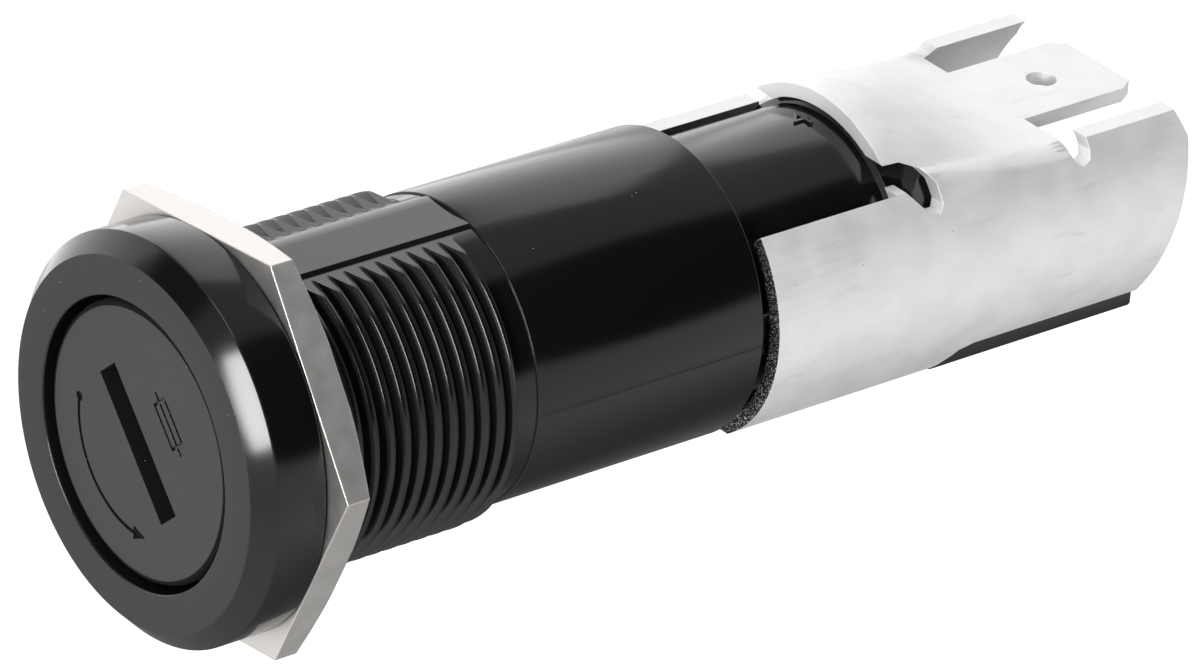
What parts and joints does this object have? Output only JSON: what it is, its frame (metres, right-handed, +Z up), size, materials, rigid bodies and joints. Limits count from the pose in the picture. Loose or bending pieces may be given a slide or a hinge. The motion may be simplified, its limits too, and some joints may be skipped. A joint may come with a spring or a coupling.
{
  "type": "panel mount fuse holder",
  "caption": "Panel mount fuse holder: flanged threaded barrel with a slotted bayonet cap, hexagon nut, round body and a folded metal terminal sheet with push-on tabs.",
  "frame": {"origin": "middle of the flange's rear seat, in the plane of the panel's front face", "axes": "+Y along the barrel, from the cap in front to the terminals behind; +Z up, on the side of the flat tab"},
  "size_m": [0.025, 0.0641, 0.0228],
  "materials": {
    "black_plastic": "satin moulded",
    "cap_plastic": "fine matt",
    "seal_rubber": "matt",
    "nickel_nut": "nickel plated",
    "tinned_sheet": "tin plated, satin",
    "contact_metal": "plated",
    "spring_steel": "bright drawn",
    "fuse_metal": "nickel plated",
    "fuse_glass": "clear",
    "fuse_element": "bright drawn"
  },
  "bodies": {
    "housing": {"housing": "black_plastic", "front_contact": "contact_metal", "rear_rivet": "contact_metal", "rear_blade": "tinned_sheet", "terminal_sheet": "tinned_sheet", "contact_spring": "spring_steel"},
    "plunger": {"plunger": "contact_metal"},
    "carrier": {"carrier_cap": "cap_plastic", "cap_seal": "seal_rubber", "carrier_clip": "contact_metal", "fuse_tube": "fuse_glass", "fuse_cap_front": "fuse_metal", "fuse_cap_rear": "fuse_metal", "fuse_wire": "fuse_element"},
    "nut": {"hex_nut": "nickel_nut"}
  },
  "joints": [
    {"name": "carrier_lift", "type": "slide", "parent": "housing", "child": "plunger", "axis": [0, -1, 0], "range_m": [0, 0.003], "deforming": ["contact_spring"]},
    {"name": "carrier_turn", "type": "hinge", "parent": "plunger", "child": "carrier", "pos_m": [0, 0, 0], "axis": [0, -1, 0], "range_deg": [0, 90]},
    {"name": "nut_travel", "type": "slide", "parent": "housing", "child": "nut", "axis": [0, 1, 0], "range_m": [0, 0.012]}
  ],
  "couplings": [
    {"joint": "carrier_turn", "follows": "carrier_lift", "rad_per_m": 523.59}
  ]
}
